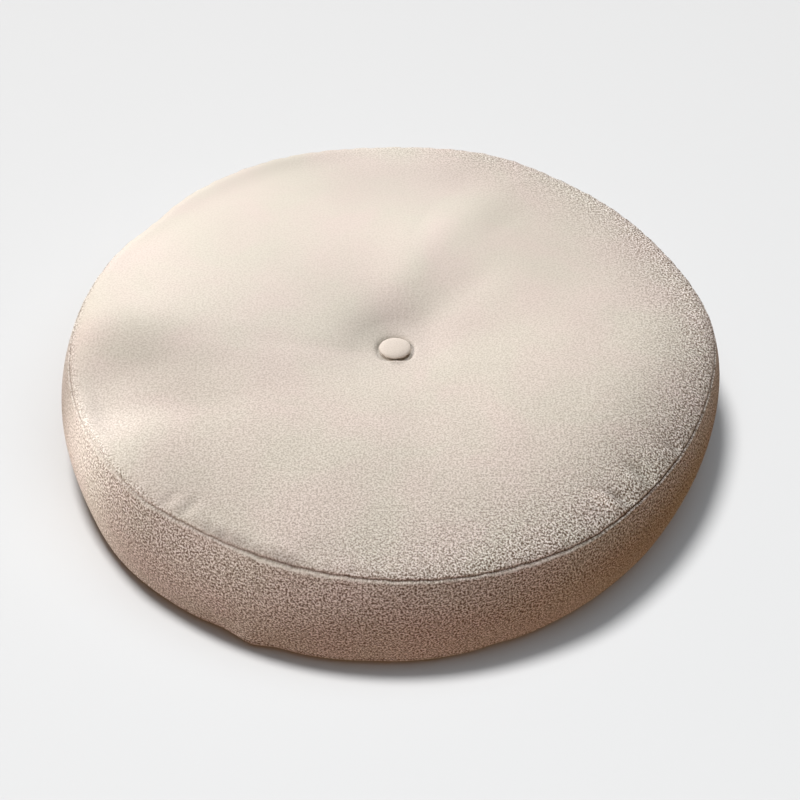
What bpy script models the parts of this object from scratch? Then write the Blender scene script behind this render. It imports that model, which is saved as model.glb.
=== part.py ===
# A round, low floor cushion: a top panel, a side band and a bottom panel sewn edge to edge over
# a soft filling, drawn in at the middle of the top by one covered button.
# Metres, +Z up. The origin is on the floor under the middle of the cushion, which rests on its
# bottom panel, and its front is -Y. Angles are in degrees, anticlockwise from +X, seen from above.

import math

import bpy
from mathutils import Matrix, Vector

# Cushion
SEAM_RADIUS = 0.250  # from the middle of the top panel to its seam
LOW_SEAM_RADIUS = 0.2475
TOP_SEAM_HEIGHT = 0.0935
LOW_SEAM_HEIGHT = 0.010
BAND_BULGE = 0.009  # how far the band swells out between its two seams
SWELL_START = 0.04  # share of that swell's half wave which lies in each seam's lip
REST_RADIUS = 0.222  # flat round on which the cushion rests
CROWN_RISE = 0.018  # height of the filled top panel over its rounded edge
CROWN_REACH = 0.030  # distance from the seam in which the crown rises most
EDGE_RISE = 0.002  # height of the top panel's rounded edge over its seam
EDGE_REACH = 0.0035
SEAM_GROOVE = 0.0012  # how deep a seam is drawn in between its two lips
SEAM_LIP = 0.0016  # half the width of that groove

# Button, and the tuft that it draws into the top
BUTTON_RADIUS = 0.0125
BUTTON_THICKNESS = 0.004
BUTTON_RIM = 0.0016  # radius of its rounded rim
BUTTON_DOME = 0.0008  # rise of its face from rim to middle
BUTTON_TILT = 4.0  # its face leans to the back
TUFT_SEAT_RADIUS = 0.0138
COLLAR_SHARE = 0.08  # share of the button's pull that is a steep collar of cloth right round it
COLLAR_REACH = 0.0015  # distance from the button in which the collar fades
TUFT_SHARE = 0.33  # share of the pull that forms a narrow tuft; the rest is a wide dish
TUFT_REACH = 0.025  # distance from the button in which the narrow tuft fades
DISH_REACH = 0.100  # distance from the button in which the wide dish fades
GAP = 0.0003

# Facets
CUSHION_STEPS = 168
TOP_RINGS = 19
BAND_RINGS = 8
HEM_RINGS = 4  # from the low seam to the flat round
BUTTON_STEPS = 48
BUTTON_DOME_RINGS = 3
BUTTON_RIM_RINGS = 6

# The cushion isn't quite round, and its seam isn't quite level: lobes is how many times a swell
# goes round, size is how far it goes out or up, and peak is the angle of one of its crests.
SEAM_OUTLINE = (
    dict(lobes=1, size=0.0020, peak=180),
    dict(lobes=3, size=0.0008, peak=56),
    dict(lobes=4, size=0.0015, peak=17),
)
LOW_OUTLINE = (
    dict(lobes=1, size=0.0041, peak=186),
    dict(lobes=2, size=0.0069, peak=56),
    dict(lobes=3, size=0.0015, peak=43),
)
SEAM_LEVEL = (
    dict(lobes=1, size=0.0028, peak=224),
    dict(lobes=3, size=0.0013, peak=345),
)

# Stretches of the rim that are flattened or pushed out, on top of those swells.
RIM_STRETCHES = (
    dict(angle=3, width=12, out=0.0025),
    dict(angle=29, width=14, out=-0.0030),
    dict(angle=70, width=11, out=0.0040),
    dict(angle=96, width=13, out=-0.0034),
    dict(angle=143, width=7, out=-0.0040),
    dict(angle=222, width=7, out=0.0026),
    dict(angle=305, width=8, out=0.0020),
)

# Soft creases in the top panel, each from start to end, as wide and as deep as given there.
CREASES = (
    dict(start=(0.016, 0.012), end=(0.077, 0.189), width=(0.0185, 0.030), depth=(0.0025, 0.0004)),
    dict(start=(-0.026, -0.008), end=(-0.179, -0.001), width=(0.010, 0.012), depth=(0.0010, 0.0003)),
)

# Broad ovals where the filling stands up or has sunk: reach is along and across the oval, and turn
# is the angle of its length.
SWELLINGS = (
    dict(middle=(-0.035, 0.165), reach=(0.100, 0.060), turn=19, rise=-0.0055),
    dict(middle=(-0.110, 0.120), reach=(0.100, 0.070), turn=30, rise=-0.0050),
    dict(middle=(0.040, 0.116), reach=(0.100, 0.029), turn=50, rise=0.0045),
    dict(middle=(-0.236, 0.010), reach=(0.055, 0.030), turn=3, rise=0.0060),
    dict(middle=(-0.212, -0.081), reach=(0.095, 0.024), turn=7, rise=-0.0060),
    dict(middle=(-0.200, -0.060), reach=(0.054, 0.035), turn=33, rise=-0.0045),
    dict(middle=(-0.075, -0.132), reach=(0.100, 0.073), turn=-32, rise=-0.0050),
    dict(middle=(0.057, -0.040), reach=(0.100, 0.048), turn=79, rise=-0.0050),
    dict(middle=(0.130, 0.090), reach=(0.100, 0.078), turn=74, rise=-0.0045),
    dict(middle=(0.175, -0.084), reach=(0.100, 0.043), turn=63, rise=0.0050),
)

# Short puckers that run from the top seam into the top panel, deepest near the seam. One of
# less than no depth is the ridge of cloth pushed up beside a pucker. Lean is how far it runs
# clockwise for each metre that it runs inwards.
TOP_PUCKERS = (
    dict(angle=226.4, length=0.030, width=0.0045, depth=0.0014, lean=0.0),
    dict(angle=230.6, length=0.034, width=0.0045, depth=0.0018, lean=0.0),
    dict(angle=240, length=0.014, width=0.0045, depth=0.0012, lean=0.0),
    dict(angle=244, length=0.018, width=0.0060, depth=0.0012, lean=0.0),
    dict(angle=251, length=0.014, width=0.0070, depth=0.0012, lean=0.0),
    dict(angle=268, length=0.036, width=0.0050, depth=0.0008, lean=0.0),
    dict(angle=309.5, length=0.034, width=0.0050, depth=0.0010, lean=0.3),
    dict(angle=313, length=0.034, width=0.0045, depth=-0.0020, lean=0.45),
    dict(angle=315.6, length=0.032, width=0.0045, depth=0.0030, lean=0.45),
    dict(angle=319, length=0.036, width=0.0045, depth=-0.0012, lean=0.2),
    dict(angle=321.8, length=0.038, width=0.0050, depth=0.0030, lean=0.1),
    dict(angle=331, length=0.022, width=0.0040, depth=0.0024, lean=0.0),
)

PUCKER_SKEW = 2.2  # how far a pucker's deepest point lies towards the seam

# Tucks and swells of the band just above the low seam: out is how far it stands out there.
LOW_TUCKS = (
    dict(angle=214, width=14, out=0.0042),
    dict(angle=238.5, width=3, out=-0.0018),
    dict(angle=245.5, width=3, out=0.0046),
    dict(angle=248, width=4, out=-0.0018),
    dict(angle=266, width=3, out=-0.0010),
    dict(angle=276, width=5, out=0.0006),
    dict(angle=288, width=3, out=-0.0016),
    dict(angle=325, width=7, out=0.0010),
)

# Stretches where the band's upper edge rolls out under its seam.
BAND_ROLLS = (
    dict(angle=208, width=10, out=0.0010),
    dict(angle=225, width=9, out=0.0010),
    dict(angle=247.5, width=6, out=0.0024),
    dict(angle=254.5, width=6, out=0.0018),
    dict(angle=268, width=10, out=0.0010),
    dict(angle=294, width=11, out=0.0016),
)
ROLL_REACH = 0.010  # distance below the seam in which a roll fades
TUCK_REACH = 0.034  # height over the floor up to which the tucks run
SEAM_HOLD = 0.012  # beside its seams and its button, cloth is held to its line in this distance
LEVEL_REACH = 0.060  # distance from the seam in which the top panel follows the seam's level

PALE_CLOTH = dict(colour=(0.655, 0.570, 0.480, 1.0), roughness=0.95)
BUTTON_CLOTH = dict(colour=(0.700, 0.625, 0.530, 1.0), roughness=0.90)


def clear_scene():
    for obj in list(bpy.data.objects):
        bpy.data.objects.remove(obj, do_unlink=True)


def make_material(name, look):
    material = bpy.data.materials.new(name)
    material.use_nodes = True
    shader = material.node_tree.nodes["Principled BSDF"]
    shader.inputs["Base Color"].default_value = look["colour"]
    shader.inputs["Roughness"].default_value = look["roughness"]
    shader.inputs["Metallic"].default_value = 0.0
    return material


def turned(name, profile, steps, collection):
    """A solid of revolution from (radius, height) points that run down its outer side."""
    mesh = bpy.data.meshes.new(name + "_profile")
    points = [(radius, 0.0, height) for radius, height in profile]
    edges = [(i, i + 1) for i in range(len(points) - 1)]
    mesh.from_pydata(points, edges, [])
    lathe = bpy.data.objects.new(name + "_lathe", mesh)
    collection.objects.link(lathe)
    screw = lathe.modifiers.new("Turn", "SCREW")
    screw.axis = "Z"
    screw.angle = math.tau
    screw.steps = steps
    screw.render_steps = steps
    screw.use_merge_vertices = True
    screw.merge_threshold = 0.00005
    depsgraph = bpy.context.evaluated_depsgraph_get()
    solid = bpy.data.meshes.new_from_object(lathe.evaluated_get(depsgraph))
    solid.name = name
    bpy.data.objects.remove(lathe, do_unlink=True)
    solid.shade_smooth()
    obj = bpy.data.objects.new(name, solid)
    collection.objects.link(obj)
    return obj


def crown_height(radius):
    """Height of the top panel at a radius: its crown, less what the button draws in."""
    from_seam = SEAM_RADIUS - radius
    rise = CROWN_RISE * (1 - math.exp(-from_seam / CROWN_REACH))
    rise += EDGE_RISE * (1 - math.exp(-from_seam / EDGE_REACH))
    pull = CROWN_RISE + EDGE_RISE + BUTTON_THICKNESS + GAP
    from_seat = max(radius - TUFT_SEAT_RADIUS, 0.0)
    collar = COLLAR_SHARE * math.exp(-from_seat / COLLAR_REACH)
    tuft = TUFT_SHARE * math.exp(-from_seat / TUFT_REACH)
    dish = (1 - COLLAR_SHARE - TUFT_SHARE) * bell(from_seat, DISH_REACH)
    return TOP_SEAM_HEIGHT + rise - pull * (collar + tuft + dish)


def cushion_profile():
    # Top panel, from the middle out to the lip of its seam, with rings closest at the tuft
    # and at the seam.
    lip_radius = SEAM_RADIUS - SEAM_LIP
    points = [(0.0, crown_height(0.0))]
    for ring in range(TOP_RINGS):
        share = 0.5 - 0.5 * math.cos(math.pi * ring / (TOP_RINGS - 1))
        radius = TUFT_SEAT_RADIUS + (lip_radius - TUFT_SEAT_RADIUS) * share
        points.append((radius, crown_height(radius)))
    # Top seam, then the band.
    points.append((SEAM_RADIUS - SEAM_GROOVE, TOP_SEAM_HEIGHT - 0.5 * SEAM_LIP))
    band_top = TOP_SEAM_HEIGHT - 1.5 * SEAM_LIP
    band_foot = LOW_SEAM_HEIGHT + SEAM_LIP
    for ring in range(BAND_RINGS):
        share = ring / (BAND_RINGS - 1)
        swell = math.sin(math.pi * (SWELL_START + (1 - 2 * SWELL_START) * share))
        straight = SEAM_RADIUS + (LOW_SEAM_RADIUS - SEAM_RADIUS) * share
        points.append((straight + BAND_BULGE * swell, band_top + (band_foot - band_top) * share))
    # Low seam, then the rounded edge of the bottom panel down to its flat round.
    points.append((LOW_SEAM_RADIUS - SEAM_GROOVE, LOW_SEAM_HEIGHT))
    for ring in range(HEM_RINGS):
        turn = math.radians(90) * (ring + 0.5) / HEM_RINGS
        radius = REST_RADIUS + (LOW_SEAM_RADIUS - REST_RADIUS) * math.cos(turn)
        points.append((radius, (LOW_SEAM_HEIGHT - SEAM_LIP) * (1 - math.sin(turn))))
    points.append((REST_RADIUS, 0.0))
    points.append((0.0, 0.0))
    return points


def lobes_at(table, angle):
    return sum(row["size"] * math.cos(row["lobes"] * math.radians(angle - row["peak"])) for row in table)


def angle_between(a, b):
    return (a - b + 180) % 360 - 180


def bell(distance, width):
    return math.exp(-((distance / width) ** 2))


def held(distance):
    """0 where the cloth is held by a seam or the button, and 1 away from it."""
    return 1 - bell(distance, SEAM_HOLD)


def crease_relief(x, y):
    relief = 0.0
    place = Vector((x, y))
    for row in CREASES:
        start = Vector(row["start"])
        along = Vector(row["end"]) - start
        share = (place - start).dot(along) / along.length_squared
        share = min(max(share, 0.0), 1.0)
        width = row["width"][0] + (row["width"][1] - row["width"][0]) * share
        depth = row["depth"][0] + (row["depth"][1] - row["depth"][0]) * share
        relief -= depth * bell((place - start - along * share).length, width)
    for row in SWELLINGS:
        from_middle = Matrix.Rotation(-math.radians(row["turn"]), 2) @ (place - Vector(row["middle"]))
        relief += row["rise"] * bell(from_middle.x, row["reach"][0]) * bell(from_middle.y, row["reach"][1])
    return relief


def pucker_relief(angle, radius):
    relief = 0.0
    inward = SEAM_RADIUS - radius
    for row in TOP_PUCKERS:
        across = math.radians(angle_between(angle, row["angle"])) * radius + row["lean"] * inward
        share = max(1 - inward / row["length"], 0.0)
        relief -= row["depth"] * bell(across, row["width"]) * math.sin(math.pi * share ** PUCKER_SKEW)
    return relief


def stretches_at(table, angle):
    return sum(row["out"] * bell(angle_between(angle, row["angle"]), row["width"]) for row in table)


def shape_cushion(mesh):
    """Moves the turned solid's points to the cushion's own uneven outline, creases and puckers."""
    for vertex in mesh.vertices:
        x, y, z = vertex.co
        radius = math.hypot(x, y)
        if radius < TUFT_SEAT_RADIUS + GAP:
            continue
        angle = math.degrees(math.atan2(y, x))
        from_seam = max(SEAM_RADIUS - radius, 0.0)
        on_top = z > 0.5 * TOP_SEAM_HEIGHT and radius < SEAM_RADIUS
        up = 1.0 if on_top else z / TOP_SEAM_HEIGHT
        out = up * lobes_at(SEAM_OUTLINE, angle) + (1 - up) * lobes_at(LOW_OUTLINE, angle)
        out += stretches_at(RIM_STRETCHES, angle) * up
        out *= (radius / SEAM_RADIUS) ** 2
        if not on_top and z > 0.0:
            out += stretches_at(BAND_ROLLS, angle) * math.exp(-(TOP_SEAM_HEIGHT - z) / ROLL_REACH)
            out += stretches_at(LOW_TUCKS, angle) * max(1 - z / TUCK_REACH, 0.0)
        z += up * lobes_at(SEAM_LEVEL, angle) * math.exp(-from_seam / LEVEL_REACH)
        if on_top:
            hold = held(from_seam) * held(radius - TUFT_SEAT_RADIUS)
            z += crease_relief(x, y) * hold + pucker_relief(angle, radius)
        scale = 1 + out / radius
        vertex.co = (x * scale, y * scale, z)


def make_cushion(collection):
    cushion = turned("cushion", cushion_profile(), CUSHION_STEPS, collection)
    shape_cushion(cushion.data)
    cushion.data.materials.append(make_material("pale_cloth", PALE_CLOTH))
    return cushion


def button_profile():
    rim_radius = BUTTON_RADIUS - BUTTON_RIM
    rim_height = BUTTON_THICKNESS - BUTTON_DOME - BUTTON_RIM
    points = []
    for ring in range(BUTTON_DOME_RINGS):
        share = ring / BUTTON_DOME_RINGS
        points.append((rim_radius * share, BUTTON_THICKNESS - BUTTON_DOME * share ** 2))
    for ring in range(BUTTON_RIM_RINGS):
        turn = math.radians(90 - 180 * ring / (BUTTON_RIM_RINGS - 1))
        points.append((rim_radius + BUTTON_RIM * math.cos(turn), rim_height + BUTTON_RIM * math.sin(turn)))
    points.append((0.0, rim_height - BUTTON_RIM))
    return points


def make_button(collection):
    button = turned("button", button_profile(), BUTTON_STEPS, collection)
    tilt = math.radians(BUTTON_TILT)
    lift = BUTTON_RADIUS * math.sin(tilt)
    seat = crown_height(0.0)
    button.matrix_world = Matrix.Translation((0, 0, seat + GAP + lift)) @ Matrix.Rotation(-tilt, 4, "X")
    button.data.materials.append(make_material("button_cloth", BUTTON_CLOTH))
    return button


def centre_over_origin(cushion, pieces):
    """Moves the pieces together, so that the middle of the cushion's box is over the origin."""
    xs = [vertex.co.x for vertex in cushion.data.vertices]
    ys = [vertex.co.y for vertex in cushion.data.vertices]
    middle = Vector((min(xs) + max(xs), min(ys) + max(ys), 0.0)) / 2
    for piece in pieces:
        piece.matrix_world = Matrix.Translation(-middle) @ piece.matrix_world


def main():
    clear_scene()
    collection = bpy.data.collections.new("round_floor_cushion")
    bpy.context.scene.collection.children.link(collection)
    cushion = make_cushion(collection)
    button = make_button(collection)
    centre_over_origin(cushion, (cushion, button))


main()
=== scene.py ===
import math

import bmesh
import bpy
import numpy as np
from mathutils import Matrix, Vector
from mathutils.kdtree import KDTree


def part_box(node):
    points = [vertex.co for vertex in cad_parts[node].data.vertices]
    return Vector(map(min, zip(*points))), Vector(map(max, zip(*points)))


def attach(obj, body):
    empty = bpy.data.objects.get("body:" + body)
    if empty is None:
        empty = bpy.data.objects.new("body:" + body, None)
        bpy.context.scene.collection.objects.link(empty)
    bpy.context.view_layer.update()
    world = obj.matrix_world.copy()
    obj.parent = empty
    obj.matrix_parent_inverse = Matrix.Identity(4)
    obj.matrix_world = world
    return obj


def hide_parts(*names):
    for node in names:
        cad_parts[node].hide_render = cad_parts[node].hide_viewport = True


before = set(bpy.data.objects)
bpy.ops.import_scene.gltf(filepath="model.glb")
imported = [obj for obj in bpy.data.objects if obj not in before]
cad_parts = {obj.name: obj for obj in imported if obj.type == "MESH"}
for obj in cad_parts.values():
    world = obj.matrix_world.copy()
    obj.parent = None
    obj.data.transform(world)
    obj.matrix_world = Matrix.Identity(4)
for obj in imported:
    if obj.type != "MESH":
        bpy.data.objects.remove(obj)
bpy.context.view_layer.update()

# A round floor cushion in pebbly cloth, drawn in at the middle of its top by one covered button.
# Metres and degrees. Angles run anticlockwise from +X, seen from above.

scene = bpy.context.scene


# small helpers

mergeWithin = 0.00002    # points closer than this become one


def bell(distance, width):
    return np.exp(-((distance / width) ** 2))


def turnBetween(a, b):
    return (a - b + 180.0) % 360.0 - 180.0


def addObject(name, data):
    obj = bpy.data.objects.new(name, data)
    scene.collection.objects.link(obj)
    return obj


def link(tree, *pairs):
    for out, into in pairs:
        tree.links.new(out, into)


# the cushion's cover

cover = dict(
    steps=512,                      # points round the cushion
    middle=(0.0030, 0.0015),        # middle of the button, over the floor
    seamRadius=0.250,
    lowSeamRadius=0.2475,
    seamHeight=0.0935,
    lowSeamHeight=0.010,
    restRadius=0.222,               # flat round that lies on the floor
    upperFrom=0.060,                # points over this height belong to the upper half
    bandBulge=0.0095,
    bulgeFullness=0.85,             # under 1, the band is fuller beside its seams
    crownRise=0.018,
    crownReach=0.030,
    edgeRise=0.002,                 # the top panel's rounded edge
    edgeReach=0.0035,
    edgeFade=0.018,
    rollStart=0.0015,               # how soon the band's edge rolls out under its seam
    rollReach=0.010,                # and how far down it fades
    seatRadius=0.0138,              # flat seat under the button
    pull=0.0243,                    # how far the button draws the top in
    collarShare=0.08,               # share of that in a steep collar right round the button
    collarReach=0.0013,
    tuftShare=0.33,                 # share in a narrow tuft, the rest is a wide dish
    tuftReach=0.025,
    dishReach=0.100,
    gapReach=0.0035,                # how far from the seat the collar's gaps fade
    collarLipAway=0.0018,           # where the collar's lip stands, from the edge of the seat
    collarLipWidth=0.0022,
    seamHold=0.012,                 # cloth beside a seam or the button is held in this distance
    levelReach=0.060,               # how far inwards the seam's changing level is felt
    tuckReach=0.034,
    puckerSkew=2.2,                 # over 1, a pucker is deepest nearer to the seam
    # rows of points across the top panel: from radius, to radius, how many
    topRows=((0.0035, 0.0138, 5), (0.0140, 0.0200, 14), (0.0212, 0.0600, 22), (0.0630, 0.2150, 46),
             (0.2175, 0.2450, 12)),
    seamRows=(0.0040, 0.0032, 0.0025, 0.0019, 0.0014, 0.0010, 0.0006, 0.0003),
    bandRows=30,
    bandEnd=0.0055,                 # the band's even rows stop this far from its seams
    hemRows=7,
    baseRows=(0.200, 0.160, 0.120, 0.080, 0.040, 0.012),
    bandSheet=2.0,                  # where the band and the base lie in the cloth's UV map
    baseSheet=4.0,
    poleAway=0.2,                   # way from the seam that is given to the two middle points
)
middleX, middleY = cover["middle"]

# swells in the outline and in the seam's level: how many go round, their size, the angle of a crest
seamOutline = ((1, 0.0020, 180), (3, 0.0008, 56), (4, 0.0015, 17))
lowOutline = ((1, 0.0041, 186), (2, 0.0069, 56), (3, 0.0015, 43))
seamLevel = ((1, 0.0028, 224), (3, 0.0013, 345))

# stretches of the rim that are flattened or pushed out: angle, width, out
rimStretches = (
    (3, 12, 0.0025), (29, 14, -0.0030), (70, 11, 0.0040), (96, 13, -0.0034),
    (143, 7, -0.0040), (222, 7, 0.0026), (305, 8, 0.0020),
)
# tucks of the band just over the low seam: angle, width, out
lowTucks = (
    (214, 14, 0.0042), (238.5, 3, -0.0018), (245.5, 3, 0.0046), (248, 4, -0.0018), (266, 3, -0.0010),
    (276, 5, 0.0006), (288, 3, -0.0016), (325, 7, 0.0010),
)
# stretches where the band's upper edge rolls out under its seam: angle, width, out
bandRolls = (
    (208, 10, 0.0010), (225, 9, 0.0010), (247.5, 6, 0.0024), (254.5, 6, 0.0018), (268, 10, 0.0010),
    (294, 11, 0.0016),
)
# stretches where the top panel's edge stands up over the seam: angle, width, up
edgeRolls = ((241, 6, 0.0016), (251, 6, 0.0022), (265, 5, 0.0006), (228, 6, 0.0006))
# soft creases in the top: start, end, width there, depth there
creases = (
    ((0.016, 0.012), (0.077, 0.189), (0.0185, 0.030), (0.0025, 0.0004)),
    ((-0.026, -0.008), (-0.179, -0.001), (0.010, 0.012), (0.0010, 0.0003)),
)
# broad ovals where the filling stands up or has sunk: middle, reach along and across, turn, rise
swellings = (
    ((-0.035, 0.165), (0.100, 0.060), 19, -0.0055),
    ((-0.110, 0.120), (0.100, 0.070), 30, -0.0050),
    ((0.040, 0.116), (0.100, 0.029), 50, 0.0045),
    ((-0.236, 0.010), (0.055, 0.030), 3, 0.0060),
    ((-0.212, -0.081), (0.095, 0.024), 7, -0.0060),
    ((-0.200, -0.060), (0.054, 0.035), 33, -0.0045),
    ((-0.075, -0.132), (0.100, 0.073), -32, -0.0050),
    ((0.057, -0.040), (0.100, 0.048), 79, -0.0050),
    ((0.130, 0.090), (0.100, 0.078), 74, -0.0045),
    ((0.175, -0.084), (0.100, 0.043), 63, 0.0050),
)
# short puckers from the top seam inwards, and (less than no depth) the ridge beside one:
# angle, length, width, depth, way clockwise for each metre inwards
puckers = (
    (226.4, 0.030, 0.0034, 0.0015, 0), (228.6, 0.022, 0.0030, -0.0004, 0),
    (230.6, 0.034, 0.0034, 0.0017, 0), (232.8, 0.022, 0.0030, -0.0004, 0),
    (236.4, 0.016, 0.0026, 0.0009, 0), (239.4, 0.012, 0.0034, 0.0012, 0),
    (242.6, 0.014, 0.0060, 0.0010, 0), (244.2, 0.022, 0.0024, 0.0009, 0),
    (250.6, 0.012, 0.0080, 0.0013, 0), (255, 0.030, 0.0085, 0.0007, 0),
    (263.3, 0.012, 0.0022, 0.0010, 0), (268, 0.038, 0.0045, 0.0008, 0),
    (276, 0.010, 0.0030, 0.0004, 0), (285, 0.012, 0.0040, 0.0005, 0),
    (306, 0.018, 0.0036, 0.0008, 0.2), (309.5, 0.034, 0.0042, 0.0012, 0.3),
    (313, 0.034, 0.0044, -0.0026, 0.45), (315.6, 0.032, 0.0042, 0.0036, 0.45),
    (319, 0.036, 0.0048, -0.0016, 0.2), (321.8, 0.038, 0.0048, 0.0036, 0.1),
    (326, 0.024, 0.0040, -0.0006, 0), (329.4, 0.022, 0.0028, -0.0010, 0),
    (331, 0.022, 0.0034, 0.0034, 0),
)
# where the cloth stands off the button or closes up to it: angle, width, out
collarGaps = ((226, 17, 0.0011), (318, 19, 0.0013), (272, 24, -0.0009))
# where it stands up against the button's edge: angle, width, up
collarLips = ((272, 26, 0.0018),)
# stretches where the seam is drawn in less or more than elsewhere, and its painted shade is lighter or
# darker with it: angle, width, more
seamPullsAndShade = ((209, 16, -0.75), (240, 5, -0.20), (322, 18, 0.45))

seamLook = dict(
    groove=0.0012,       # how deep the stitches draw the seam in
    grooveWidth=0.0006,
    topLip=0.0002,
    bandLip=0.0003,      # the band's edge rolls out under the seam
    lipAway=0.0018,
    lipWidth=0.0012,
    outShare=0.77,       # a dip or lip goes this much outwards
    upShare=0.64,        # and this much up or down
    wobbles=((173, 0.00022, 0.3), (107, 0.00028, 1.9), (61, 0.00030, 4.1)),   # waves round, size, phase
    wobbleReach=0.006,
    drawn=0.68,          # how much of the groove's painted shade shows
)

# painted light and shade on the cover: pools of light, cast shadows, shade in the button's dimple, along
# the back rim and in the folds above the seam, and a highlight on a pucker's ridge: middle, reach along
# and across, turn, lighter by
nap = (
    ((-0.105, 0.120), (0.135, 0.075), 32, 0.020),
    ((-0.010, 0.135), (0.070, 0.030), 62, 0.030),
    ((-0.190, -0.025), (0.060, 0.034), -4, -0.130),
    ((-0.010, 0.030), (0.040, 0.022), 40, -0.215),
    ((-0.160, -0.170), (0.060, 0.040), -45, -0.120),
    ((0.010, 0.205), (0.110, 0.045), 0, -0.130),
    ((-0.142, 0.188), (0.085, 0.018), 37, -0.100),
    ((-0.074, 0.224), (0.055, 0.020), 18, -0.120),
    ((-0.246, -0.044), (0.030, 0.024), -4, -0.120),
    ((-0.152, -0.074), (0.030, 0.014), 0, -0.055),
    ((-0.129, -0.205), (0.012, 0.0045), 148, -0.170),
    ((-0.108, -0.217), (0.018, 0.0055), 153, -0.200),
    ((-0.077, -0.231), (0.013, 0.0040), 161, -0.240),
    ((-0.045, -0.222), (0.024, 0.010), 168, -0.060),
    ((0.159, -0.177), (0.014, 0.004), 157, 0.160),
    ((0.166, -0.170), (0.014, 0.003), 157, -0.080),
)

# how much of the cloth's grain shows
crispness = dict(
    front=0.40,          # on the top, towards the front
    frontPower=1.3,
    rim=0.45,            # more at its rim
    rimPower=8,
    right=2.5,           # and there more to the right
    rightMost=3.0,
    topEnd=0.985,        # share of the seam's radius where the band takes over
    topFade=0.02,
    band=1.0,
    rolled=0.8,          # how much is lost on the band's rolled edge, which makes it lighter as a painted highlight
    rolledAway=0.7,      # where that lies and how wide it is, in shares of the seam's lip
    rolledWidth=0.75,
    rolledFull=0.0014,   # an edge that rolls out this far is all smooth
    left=0.55,           # how much is lost on the band at the left, which makes it lighter as painted light
    leftTurn=194,
    leftWidth=18,
)


def lobesAt(table, angle):
    return sum(size * np.cos(lobes * np.radians(angle - peak)) for lobes, size, peak in table)


def stretchesAt(table, angle):
    return sum(out * bell(turnBetween(angle, at), width) for at, width, out in table)


def creaseRelief(x, y):
    relief = np.zeros_like(x)
    for start, end, width, depth in creases:
        along = np.subtract(end, start)
        share = ((x - start[0]) * along[0] + (y - start[1]) * along[1]) / along.dot(along)
        share = np.clip(share, 0.0, 1.0)
        away = np.hypot(x - start[0] - along[0] * share, y - start[1] - along[1] * share)
        wide = width[0] + (width[1] - width[0]) * share
        relief -= (depth[0] + (depth[1] - depth[0]) * share) * bell(away, wide)
    for (mx, my), reach, turn, rise in swellings:
        c, s = math.cos(math.radians(turn)), math.sin(math.radians(turn))
        length = (x - mx) * c + (y - my) * s
        across = (y - my) * c - (x - mx) * s
        relief += rise * bell(length, reach[0]) * bell(across, reach[1])
    return relief


def puckerRelief(angle, radius):
    relief = np.zeros_like(angle)
    inward = cover["seamRadius"] - radius
    for at, length, width, depth, lean in puckers:
        across = np.radians(turnBetween(angle, at)) * radius + lean * inward
        share = np.clip(1.0 - inward / length, 0.0, 1.0)
        relief -= depth * bell(across, width) * np.sin(math.pi * share ** cover["puckerSkew"])
    return relief


def crownHeight(radius):
    fromSeam = cover["seamRadius"] - radius
    rise = cover["crownRise"] * (1 - np.exp(-fromSeam / cover["crownReach"]))
    rise = rise + cover["edgeRise"] * (1 - np.exp(-fromSeam / cover["edgeReach"]))
    fromSeat = np.maximum(radius - cover["seatRadius"], 0.0)
    collar = cover["collarShare"] * np.exp(-fromSeat / cover["collarReach"])
    tuft = cover["tuftShare"] * np.exp(-fromSeat / cover["tuftReach"])
    dish = (1 - cover["collarShare"] - cover["tuftShare"]) * bell(fromSeat, cover["dishReach"])
    return cover["seamHeight"] + rise - cover["pull"] * (collar + tuft + dish)


def coverProfile():
    # Rows of the cover from the middle of the top down its side to the middle of the base
    rows = []     # radius, height, panel, way from the nearest seam (less than 0 on the band)
    seam, low = cover["seamRadius"], cover["lowSeamRadius"]
    high, foot = cover["seamHeight"], cover["lowSeamHeight"]
    radii = np.concatenate([np.linspace(*part) for part in cover["topRows"]])
    radii = np.concatenate([radii, seam - np.array(cover["seamRows"])])
    for radius in radii:
        rows.append((radius, float(crownHeight(radius)), "top", seam - radius))
    rows.append((seam, high, "top", 0.0))
    near = np.array(cover["seamRows"])
    heights = np.concatenate([
        high - near[::-1],
        np.linspace(high - cover["bandEnd"], foot + cover["bandEnd"], cover["bandRows"]),
        foot + near,
    ])
    for height in heights:
        share = (high - height) / (high - foot)
        bulge = cover["bandBulge"] * math.sin(math.pi * share) ** cover["bulgeFullness"]
        radius = seam + (low - seam) * share + bulge
        fromSeam = -min(high - height, height - foot)
        rows.append((radius, height, "band" if height > 0.5 * high else "bandLow", fromSeam))
    rows.append((low, foot, "base", 0.0))
    for i in range(1, cover["hemRows"] + 1):
        turn = math.radians(90) * i / cover["hemRows"]
        radius = cover["restRadius"] + (low - cover["restRadius"]) * math.cos(turn)
        rows.append((radius, foot * (1 - math.sin(turn)), "base", low - radius))
    for radius in cover["baseRows"]:
        rows.append((radius, 0.0, "base", low - radius))
    return rows


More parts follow.
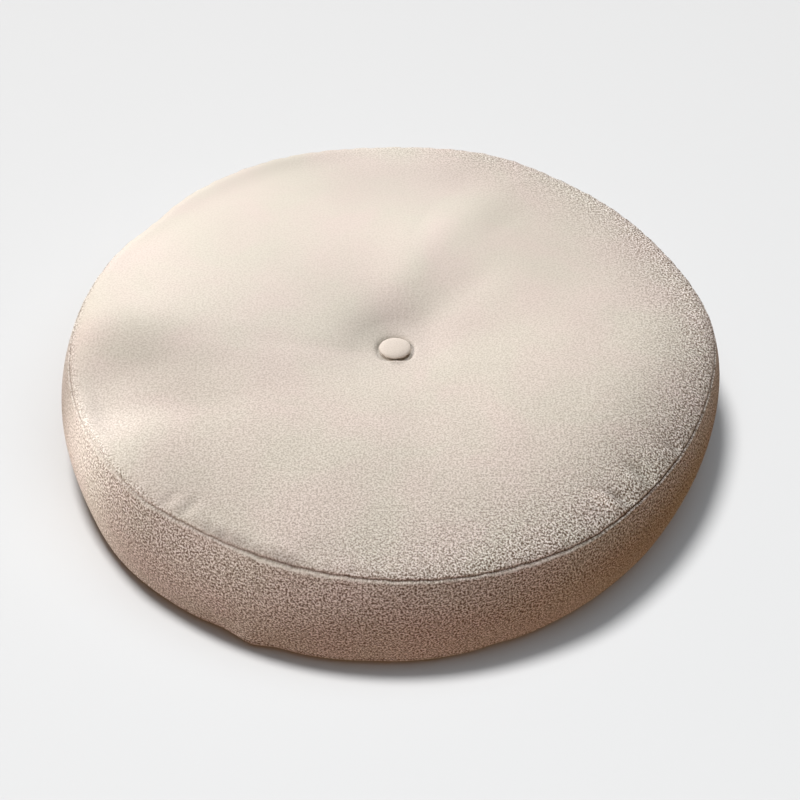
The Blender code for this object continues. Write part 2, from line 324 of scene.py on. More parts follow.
def shapeRows(rows):
    # Places every row's points on the cushion's own uneven form
    angle = np.arange(cover["steps"]) * 360.0 / cover["steps"]
    wobble = sum(size * np.cos(count * np.radians(angle) + phase)
                 for count, size, phase in seamLook["wobbles"])
    pulled = 1.0 + stretchesAt(seamPullsAndShade, angle)
    points = np.zeros((len(rows), cover["steps"], 3))
    for i, (radius, height, panel, fromSeam) in enumerate(rows):
        onTop = panel == "top"
        up = 1.0 if onTop else height / cover["seamHeight"]
        out = up * lobesAt(seamOutline, angle) + (1 - up) * lobesAt(lowOutline, angle)
        out = out + stretchesAt(rimStretches, angle) * up
        out = out * (radius / cover["seamRadius"]) ** 2
        if not onTop and height > 0.0:
            below = cover["seamHeight"] - height
            roll = (1 - math.exp(-below / cover["rollStart"])) * math.exp(-below / cover["rollReach"])
            out = out + stretchesAt(bandRolls, angle) * roll
            out = out + stretchesAt(lowTucks, angle) * max(1 - height / cover["tuckReach"], 0.0)
        if onTop:
            gap = float(bell(radius - cover["seatRadius"], cover["gapReach"]))
            out = out + stretchesAt(collarGaps, angle) * gap
        inward = max(cover["seamRadius"] - radius, 0.0)
        z = height + up * lobesAt(seamLevel, angle) * math.exp(-inward / cover["levelReach"])
        x = radius * np.cos(np.radians(angle))
        y = radius * np.sin(np.radians(angle))
        if onTop:
            hold = 1 - bell(inward, cover["seamHold"])
            hold *= 1 - bell(max(radius - cover["seatRadius"], 0.0), cover["seamHold"])
            z = z + creaseRelief(x, y) * hold + puckerRelief(angle, np.full_like(angle, radius))
            edge = (1 - math.exp(-inward / cover["edgeReach"])) * math.exp(-inward / cover["edgeFade"])
            z = z + stretchesAt(edgeRolls, angle) * edge
            beside = radius - cover["seatRadius"] - cover["collarLipAway"]
            z = z + stretchesAt(collarLips, angle) * float(bell(beside, cover["collarLipWidth"]))
        # the seams: a groove, and the rolled edges of the two panels beside it
        dip = -seamLook["groove"] * float(bell(fromSeam, seamLook["grooveWidth"])) * pulled
        lip = seamLook["topLip"] if fromSeam > 0 else seamLook["bandLip"]
        dip += lip * float(bell(abs(fromSeam) - seamLook["lipAway"], seamLook["lipWidth"]))
        slant = 1.0 if panel in ("top", "band") else -1.0
        out = out + seamLook["outShare"] * dip
        z = z + slant * seamLook["upShare"] * dip
        if height > 0.5 * cover["seamHeight"]:
            z = z + wobble * bell(fromSeam, seamLook["wobbleReach"])
        scale = 1 + out / radius
        points[i, :, 0] = x * scale
        points[i, :, 1] = y * scale
        points[i, :, 2] = z
    points[:, :, 2] = np.maximum(points[:, :, 2], 0.0)
    points[:, :, 0] += middleX
    points[:, :, 1] += middleY
    return points


def coverMasks(places, rows):
    # How much painted light and shade lies on the cloth, how crisp the grain is and how much painted shade
    # darkens the seam's line, point by point
    upper = places[:, 2] > cover["upperFrom"]
    # painted light and shade: each oval makes the colour of the upper half lighter or darker
    light = np.ones(len(places))
    for (mx, my), reach, turn, lighter in nap:
        c, s = math.cos(math.radians(turn)), math.sin(math.radians(turn))
        x, y = places[:, 0] - mx, places[:, 1] - my
        light += lighter * bell(x * c + y * s, reach[0]) * bell(y * c - x * s, reach[1]) * upper
    # the pile stands crisp on the band and at the front rim, and is pressed smooth on the top
    radius = np.hypot(places[:, 0] - middleX, places[:, 1] - middleY) / cover["seamRadius"]
    front = np.clip(0.5 - 0.5 * places[:, 1] / cover["seamRadius"], 0.0, 1.0)
    right = 1.0 + crispness["right"] * places[:, 0] / cover["seamRadius"]
    right = np.clip(right, 0.0, crispness["rightMost"])
    pressed = crispness["front"] * front ** crispness["frontPower"]
    pressed += crispness["rim"] * np.clip(radius, 0.0, 1.0) ** crispness["rimPower"] * right
    onTop = bell(np.maximum(radius - crispness["topEnd"], 0.0), crispness["topFade"]) * upper
    crisp = crispness["band"] + (pressed - crispness["band"]) * onTop
    # and it lies smoother over the band's rolled edge and at the band's left; the lighter colour this
    # gives is a painted highlight on the rolled edge and painted light at the left
    beside = np.repeat([row[3] for row in rows], cover["steps"])
    beside = np.concatenate([beside, [1.0, 1.0]])
    angle = np.degrees(np.arctan2(places[:, 1] - middleY, places[:, 0] - middleX))
    rolled = bell(beside + crispness["rolledAway"] * seamLook["lipAway"],
                  crispness["rolledWidth"] * seamLook["lipWidth"]) * upper
    rolled *= np.clip(stretchesAt(bandRolls, angle) / crispness["rolledFull"], 0.0, 1.0)
    crisp *= 1.0 - crispness["rolled"] * rolled
    atLeft = bell(turnBetween(angle, crispness["leftTurn"]), crispness["leftWidth"])
    crisp *= 1.0 - crispness["left"] * atLeft * (1.0 - onTop)
    # how much painted shade the seam's groove gets, all round
    drawn = np.clip(seamLook["drawn"] * (1.0 + stretchesAt(seamPullsAndShade, angle)), 0.0, 1.0)
    return (("nap", light), ("crisp", crisp), ("drawn", drawn))


def coverMesh(rows, points, poleTop, poleBase):
    # One closed mesh with two UV maps: cloth in metres, and seam, which is way along and way from it
    steps, count = cover["steps"], len(rows)
    verts = np.concatenate([points.reshape(-1, 3), [poleTop, poleBase]])
    topPole, basePole = len(verts) - 2, len(verts) - 1
    along = np.zeros(count)
    for i in range(1, count):
        step = math.hypot(rows[i][0] - rows[i - 1][0], rows[i][1] - rows[i - 1][1])
        along[i] = along[i - 1] + step
    along += rows[0][0]
    topEnd = max(i for i in range(count) if rows[i][2] == "top")
    baseStart = min(i for i in range(count) if rows[i][2] == "base")
    turn = np.radians(np.arange(steps + 1) * 360.0 / steps)

    def clothAt(row, step, panel):
        if panel == "band":
            return (turn[step] * cover["seamRadius"], along[topEnd] - along[row] + cover["bandSheet"])
        reach = along[row] if panel == "top" else along[-1] - along[row] + rows[-1][0]
        side = 0.0 if panel == "top" else cover["baseSheet"]
        return (reach * math.cos(turn[step]) + side, reach * math.sin(turn[step]))

    def seamAt(row, step, panel):
        sign = -1.0 if panel == "band" else 1.0
        return (turn[step] * cover["seamRadius"], sign * abs(rows[row][3]))

    faces, cloth, seam = [], [], []
    for step in range(steps):
        nextStep = (step + 1) % steps
        faces.append((topPole, step, nextStep))
        middle = 0.5 * (turn[step] + turn[step + 1])
        cloth += [(0.0, 0.0), clothAt(0, step, "top"), clothAt(0, step + 1, "top")]
        seam += [(middle * cover["seamRadius"], cover["poleAway"]), seamAt(0, step, "top"),
                 seamAt(0, step + 1, "top")]
    for i in range(count - 1):
        panel = "top" if i < topEnd else "band" if i < baseStart else "base"
        for step in range(steps):
            nextStep = (step + 1) % steps
            a, b = i * steps, (i + 1) * steps
            faces.append((a + step, b + step, b + nextStep, a + nextStep))
            corners = ((i, step), (i + 1, step), (i + 1, step + 1), (i, step + 1))
            cloth += [clothAt(row, at, panel) for row, at in corners]
            seam += [seamAt(row, at, panel) for row, at in corners]
    last = (count - 1) * steps
    for step in range(steps):
        nextStep = (step + 1) % steps
        faces.append((last + step, basePole, last + nextStep))
        middle = 0.5 * (turn[step] + turn[step + 1])
        cloth += [clothAt(count - 1, step, "base"), (cover["baseSheet"], 0.0),
                  clothAt(count - 1, step + 1, "base")]
        seam += [seamAt(count - 1, step, "base"), (middle * cover["seamRadius"], cover["poleAway"]),
                 seamAt(count - 1, step + 1, "base")]
    mesh = bpy.data.meshes.new("cushionCover")
    mesh.from_pydata(verts.tolist(), [], faces)
    for name, values in (("cloth", cloth), ("seam", seam)):
        layer = mesh.uv_layers.new(name=name)
        layer.data.foreach_set("uv", np.array(values, dtype=np.float32).ravel())
    for name, values in coverMasks(verts, rows):
        layer = mesh.attributes.new(name, "FLOAT", "POINT")
        layer.data.foreach_set("value", values.astype(np.float32))
    mesh.shade_smooth()
    return mesh


rows = coverProfile()
points = shapeRows(rows)
seatHeight = float(crownHeight(np.array(0.0)))
print("cover:", len(rows), "rows of", cover["steps"])


# filling it out

filling = dict(
    voxel=0.006,
    letDown=0.0025,      # the crown starts this much lower, because it swells
    crownHold=0.03,      # but not beside the seam or the middle
    seamHold=0.007,      # how far the cloth is held beside a seam
    seatHold=0.016,      # round that the button holds
    floorHold=0.002,     # height that the floor holds
    leastHold=0.02,
    quality=6,
    mass=0.2,
    tension=14,
    shear=6,
    bending=1.0,
    stretch=0.0,
    pressure=4.0,
    frames=20,
    capSwell=0.008,      # no point goes farther than this
    smoothing=14,
    neighbours=6,
    nearest=0.002,       # keeps the very nearest point from counting for all
    seamFade=0.008,      # the fine cover stays where it is beside a seam
    seatFade=0.03,       # and inside this radius it follows less and less
)


def fillWithPressure():
    # Blows a remeshed copy of the cushion up as cloth, and returns its points and how far they went
    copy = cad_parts["cushion"].data.copy()
    work = bmesh.new()
    work.from_mesh(copy)
    bmesh.ops.remove_doubles(work, verts=work.verts, dist=mergeWithin)
    work.to_mesh(copy)
    work.free()
    pad = addObject("pad", copy)
    remesh = pad.modifiers.new("Remesh", "REMESH")
    remesh.mode = "VOXEL"
    remesh.voxel_size = filling["voxel"]
    graph = bpy.context.evaluated_depsgraph_get()
    even = bpy.data.meshes.new_from_object(pad.evaluated_get(graph))
    bpy.data.objects.remove(pad)
    pad = addObject("pad", even)
    start = np.array([v.co for v in even.vertices])
    radius = np.hypot(start[:, 0] - middleX, start[:, 1] - middleY)
    height = start[:, 2]
    # lets the crown down a little before it swells
    free = 1 - bell(cover["seamRadius"] - radius, filling["crownHold"])
    free *= 1 - bell(radius, filling["crownHold"])
    free *= (height > cover["upperFrom"]) & (radius < cover["seamRadius"])
    lowered = start.copy()
    lowered[:, 2] -= filling["letDown"] * free
    even.vertices.foreach_set("co", lowered.ravel())
    toSeam = np.hypot(radius - cover["seamRadius"], height - cover["seamHeight"])
    toLow = np.hypot(radius - cover["lowSeamRadius"], height - cover["lowSeamHeight"])
    hold = np.maximum(bell(toSeam, filling["seamHold"]), bell(toLow, filling["seamHold"]))
    hold = np.maximum(hold, (radius < filling["seatHold"]) & (height > cover["upperFrom"]))
    hold = np.maximum(hold, height < filling["floorHold"])
    group = pad.vertex_groups.new(name="held")
    for i, weight in enumerate(hold):
        if weight > filling["leastHold"]:
            group.add([i], float(weight), "REPLACE")
    cloth = pad.modifiers.new("Cloth", "CLOTH")
    cloth.settings.quality = filling["quality"]
    cloth.settings.mass = filling["mass"]
    cloth.settings.tension_stiffness = filling["tension"]
    cloth.settings.compression_stiffness = filling["tension"]
    cloth.settings.shear_stiffness = filling["shear"]
    cloth.settings.bending_stiffness = filling["bending"]
    cloth.settings.use_pressure = True
    cloth.settings.uniform_pressure_force = filling["pressure"]
    cloth.settings.vertex_group_mass = "held"
    cloth.settings.shrink_min = filling["stretch"]
    cloth.settings.effector_weights.gravity = 0
    cloth.collision_settings.use_collision = False
    cloth.point_cache.frame_start = 1
    cloth.point_cache.frame_end = filling["frames"]
    for at in range(1, filling["frames"] + 1):
        scene.frame_set(at)
    graph = bpy.context.evaluated_depsgraph_get()
    blown = np.array([v.co for v in pad.evaluated_get(graph).data.vertices])
    moved = blown - start
    far = np.linalg.norm(moved, axis=1, keepdims=True)
    moved *= np.minimum(1.0, filling["capSwell"] / np.maximum(far, 1e-9))
    edges = np.array([e.vertices[:] for e in even.edges])
    count = np.bincount(edges.ravel(), minlength=len(start))[:, None]
    for _ in range(filling["smoothing"]):
        total = np.zeros_like(moved)
        np.add.at(total, edges[:, 0], moved[edges[:, 1]])
        np.add.at(total, edges[:, 1], moved[edges[:, 0]])
        moved = 0.5 * moved + 0.5 * total / count
    bpy.data.objects.remove(pad)
    scene.frame_set(1)
    return start, moved


def carryOver(start, moved, points, rows):
    # Moves the fine cover as its nearest points on the blown copy moved
    tree = KDTree(len(start))
    for i, place in enumerate(start):
        tree.insert(place, i)
    tree.balance()
    flat = points.reshape(-1, 3)
    shift = np.zeros_like(flat)
    for i, place in enumerate(flat):
        near = tree.find_n(place, filling["neighbours"])
        weights = np.array([1.0 / (away + filling["nearest"]) for _, _, away in near])
        shift[i] = (moved[[j for _, j, _ in near]] * weights[:, None]).sum(0) / weights.sum()
    shift = shift.reshape(points.shape)
    for i, (radius, height, panel, fromSeam) in enumerate(rows):
        keep = 1 - float(bell(fromSeam, filling["seamFade"]))
        if panel == "base":
            keep *= min(height / cover["lowSeamHeight"], 1.0)
        if radius < filling["seatFade"] and panel == "top":
            fade = (radius - cover["seatRadius"]) / (filling["seatFade"] - cover["seatRadius"])
            keep *= max(fade, 0.0)
        shift[i] *= keep
    return points + shift


start, moved = fillWithPressure()
top = start[:, 2] > cover["upperFrom"]
print("filled: top rose", round(float(moved[top, 2].mean()) * 1000, 2), "mm on average,",
      round(float(np.abs(moved).max()) * 1000, 2), "mm at most")
points = carryOver(start, moved, points, rows)

cushionMesh = coverMesh(rows, points, (middleX, middleY, seatHeight), (middleX, middleY, 0.0))
cushionCover = addObject("cushionCover", cushionMesh)
print("cushion:", len(cushionMesh.polygons), "faces")


# the covered button

button = dict(
    radius=0.0125,
    thickness=0.004,
    edge=4.5,            # how square its rim is: 2 is round, more is flatter
    dome=0.0006,
    flank=0.8,           # under 1, its faces keep their height farther out
    gathers=11,          # folds of its cloth, drawn under the rim
    gatherDepth=0.00018,
    tilt=4.0,            # leans to the back
    around=96,
    across=40,
)


def mathNode(tree, operation, a, b=None):
    node = tree.nodes.new("ShaderNodeMath")
    node.operation = operation
    for socket, value in zip(node.inputs, (a, b)):
        if value is None:
            continue
        if isinstance(value, (int, float)):
            socket.default_value = value
        else:
            tree.links.new(value, socket)
    return node.outputs[0]


def buttonTree():
    # Rolls a grid up into a button: u goes round it, v goes from the middle of its face to its back
    tree = bpy.data.node_groups.new("buttonForm", "GeometryNodeTree")
    face = tree.interface
    face.new_socket("Geometry", in_out="OUTPUT", socket_type="NodeSocketGeometry")
    kinds = dict(Float=("Radius", "Thickness", "Edge", "Dome", "Gather Depth"),
                 Int=("Gathers", "Around", "Across"), Vector=("Place", "Turn"), Material=("Cloth",))
    for kind, names in kinds.items():
        for name in names:
            face.new_socket(name, in_out="INPUT", socket_type="NodeSocket" + kind)
    into = tree.nodes.new("NodeGroupInput").outputs
    done = tree.nodes.new("NodeGroupOutput")
    grid = tree.nodes.new("GeometryNodeMeshGrid")
    grid.inputs["Size X"].default_value = 1.0
    grid.inputs["Size Y"].default_value = 1.0
    place = tree.nodes.new("GeometryNodeInputPosition")
    split = tree.nodes.new("ShaderNodeSeparateXYZ")
    link(tree, (into["Around"], grid.inputs["Vertices X"]), (into["Across"], grid.inputs["Vertices Y"]),
         (place.outputs[0], split.inputs[0]))
    turn = mathNode(tree, "MULTIPLY", mathNode(tree, "ADD", split.outputs["X"], 0.5), math.tau)
    drop = mathNode(tree, "MULTIPLY", mathNode(tree, "ADD", split.outputs["Y"], 0.5), math.pi)
    wide = mathNode(tree, "MAXIMUM", mathNode(tree, "SINE", drop), 0.0)
    tall = mathNode(tree, "COSINE", drop)
    power = mathNode(tree, "DIVIDE", 2.0, into["Edge"])
    reach = mathNode(tree, "POWER", wide, power)
    back = mathNode(tree, "LESS_THAN", tall, 0.0)
    fold = mathNode(tree, "SINE", mathNode(tree, "MULTIPLY", turn, into["Gathers"]))
    fold = mathNode(tree, "MULTIPLY", fold, mathNode(tree, "MULTIPLY", back, into["Gather Depth"]))
    radius = mathNode(tree, "ADD", mathNode(tree, "MULTIPLY", reach, into["Radius"]), fold)
    radius = mathNode(tree, "MULTIPLY", radius, mathNode(tree, "GREATER_THAN", wide, 0.0001))   # poles
    level = mathNode(tree, "POWER", mathNode(tree, "ABSOLUTE", tall), button["flank"])
    level = mathNode(tree, "MULTIPLY", level, mathNode(tree, "SIGN", tall))
    level = mathNode(tree, "MULTIPLY", level, mathNode(tree, "MULTIPLY", into["Thickness"], 0.5))
    domed = mathNode(tree, "SUBTRACT", 1.0, mathNode(tree, "MULTIPLY", reach, reach))
    domed = mathNode(tree, "MULTIPLY", domed, mathNode(tree, "SUBTRACT", 1.0, back))
    level = mathNode(tree, "ADD", level, mathNode(tree, "MULTIPLY", domed, into["Dome"]))
    join = tree.nodes.new("ShaderNodeCombineXYZ")
    link(tree, (mathNode(tree, "MULTIPLY", radius, mathNode(tree, "COSINE", turn)), join.inputs["X"]),
         (mathNode(tree, "MULTIPLY", radius, mathNode(tree, "SINE", turn)), join.inputs["Y"]),
         (level, join.inputs["Z"]))
    setPlace = tree.nodes.new("GeometryNodeSetPosition")
    merge = tree.nodes.new("GeometryNodeMergeByDistance")
    merge.inputs["Distance"].default_value = mergeWithin
    move = tree.nodes.new("GeometryNodeTransform")
    smooth = tree.nodes.new("GeometryNodeSetShadeSmooth")
    real = tree.nodes.new("GeometryNodeRealizeInstances")
    paint = tree.nodes.new("GeometryNodeSetMaterial")
    link(tree, (join.outputs[0], setPlace.inputs["Position"]), (into["Place"], move.inputs["Translation"]),
         (into["Turn"], move.inputs["Rotation"]), (into["Cloth"], paint.inputs["Material"]))
    shaped = grid.outputs["Mesh"]
    for step in (setPlace, merge, move, smooth, real, paint):
        link(tree, (shaped, step.inputs["Geometry"]))
        shaped = step.outputs[0]
    link(tree, (shaped, done.inputs["Geometry"]))
    return tree


def growMesh(name, tree, values):
    # Runs a geometry tree with the given inputs and keeps its result as a plain mesh
    carrier = addObject(name, bpy.data.meshes.new(name))
    grow = carrier.modifiers.new("Grow", "NODES")
    grow.node_group = tree
    sockets = {item.name: item.identifier for item in tree.interface.items_tree if item.in_out == "INPUT"}
    for key, value in values.items():
        grow[sockets[key]] = value
    graph = bpy.context.evaluated_depsgraph_get()
    mesh = bpy.data.meshes.new_from_object(carrier.evaluated_get(graph))
    carrier.modifiers.remove(grow)
    carrier.data = mesh
    mesh.name = name
    return carrier


# cloths

# what both cloths share
weaving = dict(
    loopsFrom=0.50,          # the loops of yarn stand where the yarn's noise is over this,
    loopsTo=0.63,
    pitsFrom=0.35,           # and the pits lie where it is under this
    pitsTo=0.48,
    yarnCurl=0.45,           # how far the yarn's noise is bent
    fineScale=2.1,           # finer fibres, for each loop
    fineShare=0.30,
    waveRepeat=0.31,         # the wave texture repeats at this, divided by its scale
    waveCurl=1.6,
    blotchScale=9.0,
    blotch=0.16,             # light to dark in the dye's broad blotches
    hueScale=17.0,
    hueFrom=0.35,            # the dye goes from rosy to greenish between these
    hueTo=0.65,
    sheenRoughness=0.45,
    specular=0.25,
)


def pebbleGroup():
    # Pebbly cloth: short pale loops of yarn, pits between them, where the materials paint shade, and a
    # fine weave under them
    group = bpy.data.node_groups.new("pebbleCloth", "ShaderNodeTree")
    face = group.interface
    face.new_socket("Vector", in_out="INPUT", socket_type="NodeSocketVector")
    for name, value in (("Loop Size", 0.0022), ("Weave Size", 0.0011), ("Weave", 0.25)):
        face.new_socket(name, in_out="INPUT", socket_type="NodeSocketFloat").default_value = value
    for name in ("Height", "Loops", "Pits", "Blotch", "Hue"):
        face.new_socket(name, in_out="OUTPUT", socket_type="NodeSocketFloat")
    into = group.nodes.new("NodeGroupInput").outputs
    done = group.nodes.new("NodeGroupOutput").inputs
    perLoop = mathNode(group, "DIVIDE", 1.0, into["Loop Size"])

    def noise(scale, detail, rough, distortion, offset=0.0):
        node = group.nodes.new("ShaderNodeTexNoise")
        node.noise_dimensions = "3D"
        node.inputs["Detail"].default_value = detail
        node.inputs["Roughness"].default_value = rough
        node.inputs["Distortion"].default_value = distortion
        shift = group.nodes.new("ShaderNodeVectorMath")
        shift.operation = "ADD"
        shift.inputs[1].default_value = (offset, offset * 0.7, offset * 1.3)
        link(group, (into["Vector"], shift.inputs[0]), (shift.outputs[0], node.inputs["Vector"]))
        if isinstance(scale, (int, float)):
            node.inputs["Scale"].default_value = scale
        else:
            group.links.new(scale, node.inputs["Scale"])
        return node.outputs["Fac"]

    def ramp(value, low, high):
        node = group.nodes.new("ShaderNodeMapRange")
        node.interpolation_type = "SMOOTHSTEP"
        node.inputs["From Min"].default_value = low
        node.inputs["From Max"].default_value = high
        group.links.new(value, node.inputs["Value"])
        return node.outputs["Result"]

    yarn = noise(perLoop, 0.6, 0.5, weaving["yarnCurl"])
    loops = ramp(yarn, weaving["loopsFrom"], weaving["loopsTo"])
    pits = mathNode(group, "SUBTRACT", 1.0, ramp(yarn, weaving["pitsFrom"], weaving["pitsTo"]))
    weaveScale = mathNode(group, "DIVIDE", 1.0, into["Weave Size"])
    threads = None
    for direction in ("X", "Y"):
        wave = group.nodes.new("ShaderNodeTexWave")
        wave.bands_direction = direction
        wave.inputs["Distortion"].default_value = weaving["waveCurl"]
        wave.inputs["Detail"].default_value = 1.0
        link(group, (into["Vector"], wave.inputs["Vector"]),
             (mathNode(group, "MULTIPLY", weaveScale, weaving["waveRepeat"]), wave.inputs["Scale"]))
        fac = wave.outputs["Fac"]
        threads = fac if threads is None else mathNode(group, "MAXIMUM", threads, fac)
    fine = noise(mathNode(group, "MULTIPLY", perLoop, weaving["fineScale"]), 1.0, 0.6, 0.4, 3.0)
    height = mathNode(group, "ADD", yarn, mathNode(group, "MULTIPLY", fine, weaving["fineShare"]))
    height = mathNode(group, "ADD", height, mathNode(group, "MULTIPLY", threads, into["Weave"]))
    blotch = noise(weaving["blotchScale"], 3.0, 0.5, 0.3, 7.0)
    hue = noise(weaving["hueScale"], 2.0, 0.5, 0.4, 11.0)
    link(group, (height, done["Height"]), (loops, done["Loops"]), (pits, done["Pits"]),
         (blotch, done["Blotch"]), (hue, done["Hue"]))
    return group


pebbles = pebbleGroup()

coverCloth = dict(
    name="pebblyCreamCloth",
    thread=(0.650, 0.606, 0.543, 1.0),
    ground=(0.530, 0.482, 0.423, 1.0),       # between the loops where the pile stands crisp
    loop=(1.000, 0.965, 0.925, 1.0),
    pitShade=(0.160, 0.115, 0.082, 1.0),
    loopSize=0.00145,
    weaveSize=0.0011,
    weave=0.10,
    rosy=(1.015, 0.985, 1.000, 1.0),
    greenish=(0.985, 1.008, 0.990, 1.0),
    # painted shade in the seam's groove: its colour and how wide it is
    groove=(0.120, 0.082, 0.060, 1.0),
    grooveWidth=0.0009,
    loopShow=0.95,
    pitShow=0.95,
    bump=0.9,
    depth=0.0006,
    roughness=0.95,
    sheen=0.15,
    uv="cloth",
)
buttonCloth = dict(
    name="buttonCloth",
    # a little darker than the cover's thread: painted shade that offsets the extra light on the button's
    # back-tilted face
    thread=(0.625, 0.575, 0.515, 1.0),
    loop=(0.720, 0.665, 0.600, 1.0),
    pitShade=(0.480, 0.420, 0.350, 1.0),
    loopSize=0.0011,
    weaveSize=0.0006,
    weave=0.3,
    rosy=(1.000, 0.995, 0.995, 1.0),
    greenish=(1.000, 1.000, 0.995, 1.0),
    loopShow=0.25,
    pitShow=0.20,
    bump=0.30,
    depth=0.00025,
    roughness=0.85,
    sheen=0.15,
    uv=None,
)


def mixColour(tree, fac, a, b, mode="MIX"):
    node = tree.nodes.new("ShaderNodeMix")
    node.data_type = "RGBA"
    node.blend_type = mode
    node.clamp_factor = True
    for socket, value in ((node.inputs["Factor"], fac), (node.inputs[6], a), (node.inputs[7], b)):
        if isinstance(value, (int, float, tuple)):
            socket.default_value = value
        else:
            tree.links.new(value, socket)
    return node.outputs[2]


def clothMaterial(look):
    material = bpy.data.materials.new(look["name"])
    material.use_nodes = True
    tree = material.node_tree
    shader = tree.nodes["Principled BSDF"]
    shader.inputs["Roughness"].default_value = look["roughness"]
    shader.inputs["Sheen Weight"].default_value = look["sheen"]
    shader.inputs["Sheen Roughness"].default_value = weaving["sheenRoughness"]
    shader.inputs["Specular IOR Level"].default_value = weaving["specular"]
    cloth = tree.nodes.new("ShaderNodeGroup")
    cloth.node_tree = pebbles
    cloth.inputs["Loop Size"].default_value = look["loopSize"]
    cloth.inputs["Weave Size"].default_value = look["weaveSize"]
    cloth.inputs["Weave"].default_value = look["weave"]
    if look["uv"]:
        where = tree.nodes.new("ShaderNodeUVMap")
        where.uv_map = look["uv"]
        tree.links.new(where.outputs["UV"], cloth.inputs["Vector"])
    else:
        where = tree.nodes.new("ShaderNodeTexCoord")
        tree.links.new(where.outputs["Object"], cloth.inputs["Vector"])
    loops = mathNode(tree, "MULTIPLY", cloth.outputs["Loops"], look["loopShow"])
    pits = mathNode(tree, "MULTIPLY", cloth.outputs["Pits"], look["pitShow"])
    height = cloth.outputs["Height"]
    if look["uv"]:
        # less of it shows where the pile has been pressed smooth
        crisp = tree.nodes.new("ShaderNodeAttribute")
        crisp.attribute_name = "crisp"
        loops = mathNode(tree, "MULTIPLY", loops, crisp.outputs["Fac"])
        pits = mathNode(tree, "MULTIPLY", pits, crisp.outputs["Fac"])
        height = mathNode(tree, "MULTIPLY", height, crisp.outputs["Fac"])
        colour = mixColour(tree, crisp.outputs["Fac"], look["thread"], look["ground"])
    else:
        colour = look["thread"]
    colour = mixColour(tree, loops, colour, look["loop"])
    # painted shade in the pits between the loops
    colour = mixColour(tree, pits, colour, look["pitShade"])
    # broad unevenness of the dye, a few parts in a hundred, between a rosy and a greenish cream
    hue = tree.nodes.new("ShaderNodeMapRange")
    hue.inputs["From Min"].default_value = weaving["hueFrom"]
    hue.inputs["From Max"].default_value = weaving["hueTo"]
    tree.links.new(cloth.outputs["Hue"], hue.inputs["Value"])
    dye = mixColour(tree, hue.outputs["Result"], look["rosy"], look["greenish"])
    colour = mixColour(tree, 1.0, colour, dye, "MULTIPLY")
    tint = mathNode(tree, "MULTIPLY", cloth.outputs["Blotch"], weaving["blotch"])
    tint = mathNode(tree, "ADD", tint, 1.0 - 0.5 * weaving["blotch"])
    colour = mixColour(tree, 1.0, colour, tint, "MULTIPLY")
    if look["uv"]:
        # painted light and shade on the cover, read from its point attribute
        paintedLightAttribute = tree.nodes.new("ShaderNodeAttribute")
        paintedLightAttribute.attribute_name = "nap"
        colour = mixColour(tree, 1.0, colour, paintedLightAttribute.outputs["Fac"], "MULTIPLY")
        # painted shade along the seams, darkest in the middle of the groove
        seam = tree.nodes.new("ShaderNodeUVMap")
        seam.uv_map = "seam"
        apart = tree.nodes.new("ShaderNodeSeparateXYZ")
        tree.links.new(seam.outputs["UV"], apart.inputs[0])
        away = mathNode(tree, "ABSOLUTE", apart.outputs["Y"])
        groove = mathNode(tree, "SUBTRACT", 1.0, mathNode(tree, "DIVIDE", away, look["grooveWidth"]))
        groove = mathNode(tree, "MAXIMUM", groove, 0.0)
        drawn = tree.nodes.new("ShaderNodeAttribute")
        drawn.attribute_name = "drawn"
        groove = mathNode(tree, "MULTIPLY", groove, drawn.outputs["Fac"])
        colour = mixColour(tree, groove, colour, look["groove"])
    tree.links.new(colour, shader.inputs["Base Color"])
    bump = tree.nodes.new("ShaderNodeBump")
    bump.inputs["Strength"].default_value = look["bump"]
    bump.inputs["Distance"].default_value = look["depth"]
    link(tree, (height, bump.inputs["Height"]), (bump.outputs["Normal"], shader.inputs["Normal"]))
    return material


cushionMesh.materials.append(clothMaterial(coverCloth))

boxLow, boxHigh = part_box("button")
buttonPlace = (boxLow + boxHigh) / 2
coveredButton = growMesh("coveredButton", buttonTree(), {
    "Radius": button["radius"], "Thickness": button["thickness"], "Edge": button["edge"],
    "Dome": button["dome"], "Gathers": button["gathers"], "Gather Depth": button["gatherDepth"],
    "Around": button["around"] + 1, "Across": button["across"],      # the grid's two ends meet
    "Place": buttonPlace, "Turn": Vector((math.radians(-button["tilt"]), 0.0, 0.0)),
    "Cloth": clothMaterial(buttonCloth),
})
work = bmesh.new()
work.from_mesh(coveredButton.data)
bmesh.ops.recalc_face_normals(work, faces=work.faces)
work.to_mesh(coveredButton.data)
work.free()
print("button:", len(coveredButton.data.polygons), "faces at", [round(v, 4) for v in buttonPlace])

for piece, node, slot in ((cushionCover, "cushion", "pale_cloth"),
                          (coveredButton, "button", "button_cloth")):
    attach(piece, "root")
    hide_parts(node)


# floor, light and camera

stage = dict(
    floor=(0.50, 0.50, 0.50, 1.0),
    floorHalf=7.0,
    floorRoughness=0.9,
    worldHigh=(0.0, 0.0, 0.0, 1.0),
    worldLow=(0.245, 0.136, 0.067, 1.0),
    worldFrom=0.12,          # the low colour fades upwards from here
    worldStrength=1.0,
)
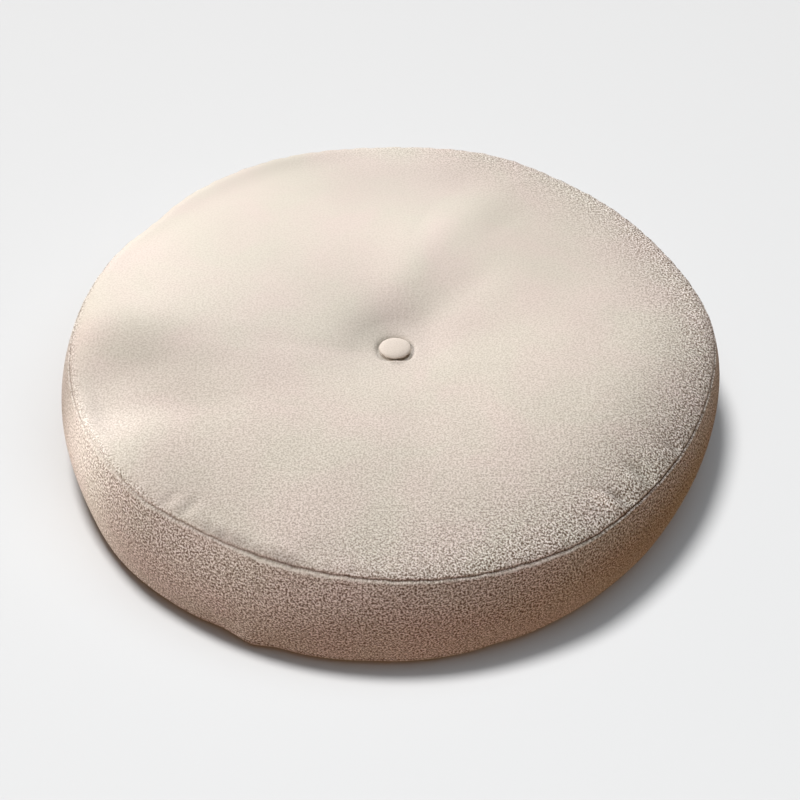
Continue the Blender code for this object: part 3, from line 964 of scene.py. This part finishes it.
# turn and rise say where a lamp stands, and the spots have an aim and a cone
cushionLamps = dict(
    key=dict(turn=175, rise=37, away=2.8, size=0.45, power=43, colour=(0.99, 0.915, 0.86)),
    back=dict(turn=100, rise=22, away=2.8, size=0.45, power=52, colour=(1.0, 0.96, 0.97)),
    over=dict(turn=0, rise=88, away=2.8, size=1.0, power=36, colour=(0.95, 0.98, 1.0)),
    fill=dict(turn=240, rise=5, away=2.4, size=1.0, power=11.2, colour=(1.0, 0.85, 0.93)),
    glow=dict(turn=140, rise=52, away=2.4, aim=(-0.12, 0.16, 0.10), cone=8.6, blend=0.35, power=40,
              size=0.03, colour=(0.90, 0.96, 1.0)),
    patch=dict(turn=200, rise=45, away=2.4, aim=(-0.235, -0.095, 0.09), cone=2.3, blend=0.35, power=74,
               size=0.03, colour=(0.96, 0.96, 1.0)),
    side=dict(turn=196, rise=12, away=2.4, aim=(-0.236, -0.100, 0.055), cone=3.6, blend=1.0, power=80,
              size=0.03, colour=(1.0, 0.96, 0.92)),
)
floorLamps = dict(
    top=dict(turn=180, rise=81.8, away=6.0, size=1.4, power=460, colour=(1.0, 0.985, 0.973)),
    around=dict(turn=-50, rise=76, away=4.5, size=5.0, power=121, colour=(0.75, 0.895, 1.0)),
)

floorMesh = bpy.data.meshes.new("floor")
half = stage["floorHalf"]
corners = [(-half, -half, 0), (half, -half, 0), (half, half, 0), (-half, half, 0)]
floorMesh.from_pydata(corners, [], [(0, 1, 2, 3)])
floor = addObject("floor", floorMesh)
paint = bpy.data.materials.new("paleFloor")
paint.use_nodes = True
paintInputs = paint.node_tree.nodes["Principled BSDF"].inputs
paintInputs["Base Color"].default_value = stage["floor"]
paintInputs["Roughness"].default_value = stage["floorRoughness"]
floorMesh.materials.append(paint)
floor.visible_diffuse = False


def addLamp(name, look, receivers):
    # A round area lamp that faces the origin, or a spot that faces its aim; it lights only its receivers
    if "cone" in look:
        data = bpy.data.lights.new(name, "SPOT")
        data.shadow_soft_size = look["size"]
        data.spot_size = math.radians(look["cone"])
        data.spot_blend = look["blend"]
    else:
        data = bpy.data.lights.new(name, "AREA")
        data.shape = "DISK"
        data.size = look["size"]
    data.energy = look["power"]
    data.color = look["colour"]
    lamp = addObject(name, data)
    turn, rise = math.radians(look["turn"]), math.radians(look["rise"])
    way = Vector((math.cos(turn) * math.cos(rise), math.sin(turn) * math.cos(rise), math.sin(rise)))
    lamp.location = Vector(look.get("aim", (0.0, 0.0, 0.0))) + way * look["away"]
    lamp.rotation_euler = way.to_track_quat("Z", "Y").to_euler()
    group = bpy.data.collections.new(name + "Lights")
    for obj in receivers:
        group.objects.link(obj)
    lamp.light_linking.receiver_collection = group


for lamps, receivers in ((cushionLamps, (cushionCover, coveredButton)), (floorLamps, (floor,))):
    for name, look in lamps.items():
        addLamp(name + "Light", look, receivers)

world = bpy.data.worlds.new("studio")
scene.world = world
world.use_nodes = True
nodes = world.node_tree.nodes
sky = nodes.new("ShaderNodeTexCoord")
apart = nodes.new("ShaderNodeSeparateXYZ")
ramp = nodes.new("ShaderNodeMapRange")
ramp.inputs["From Min"].default_value = stage["worldFrom"]
ramp.inputs["From Max"].default_value = 1.0
skyColour = mixColour(world.node_tree, ramp.outputs[0], stage["worldLow"], stage["worldHigh"])
link(world.node_tree, (sky.outputs["Generated"], apart.inputs[0]),
     (apart.outputs["Z"], ramp.inputs["Value"]), (skyColour, nodes["Background"].inputs["Color"]))
nodes["Background"].inputs["Strength"].default_value = stage["worldStrength"]

view = dict(
    target=(0.0009, 0.0016, 0.0375),
    away=2.5,
    rise=43.54,
    lens=141.9,
    shift=(0.0096, -0.0011),
    clipEnd=50,
)
cameraData = bpy.data.cameras.new("camera")
cameraData.lens = view["lens"]
cameraData.shift_x, cameraData.shift_y = view["shift"]
cameraData.clip_end = view["clipEnd"]
camera = addObject("camera", cameraData)
rise = math.radians(view["rise"])
camera.location = Vector(view["target"]) + Vector((0, -math.cos(rise), math.sin(rise))) * view["away"]
camera.rotation_euler = (math.radians(90) - rise, 0, 0)
scene.camera = camera
scene.view_settings.view_transform = "Standard"
print("stage, light and camera set")
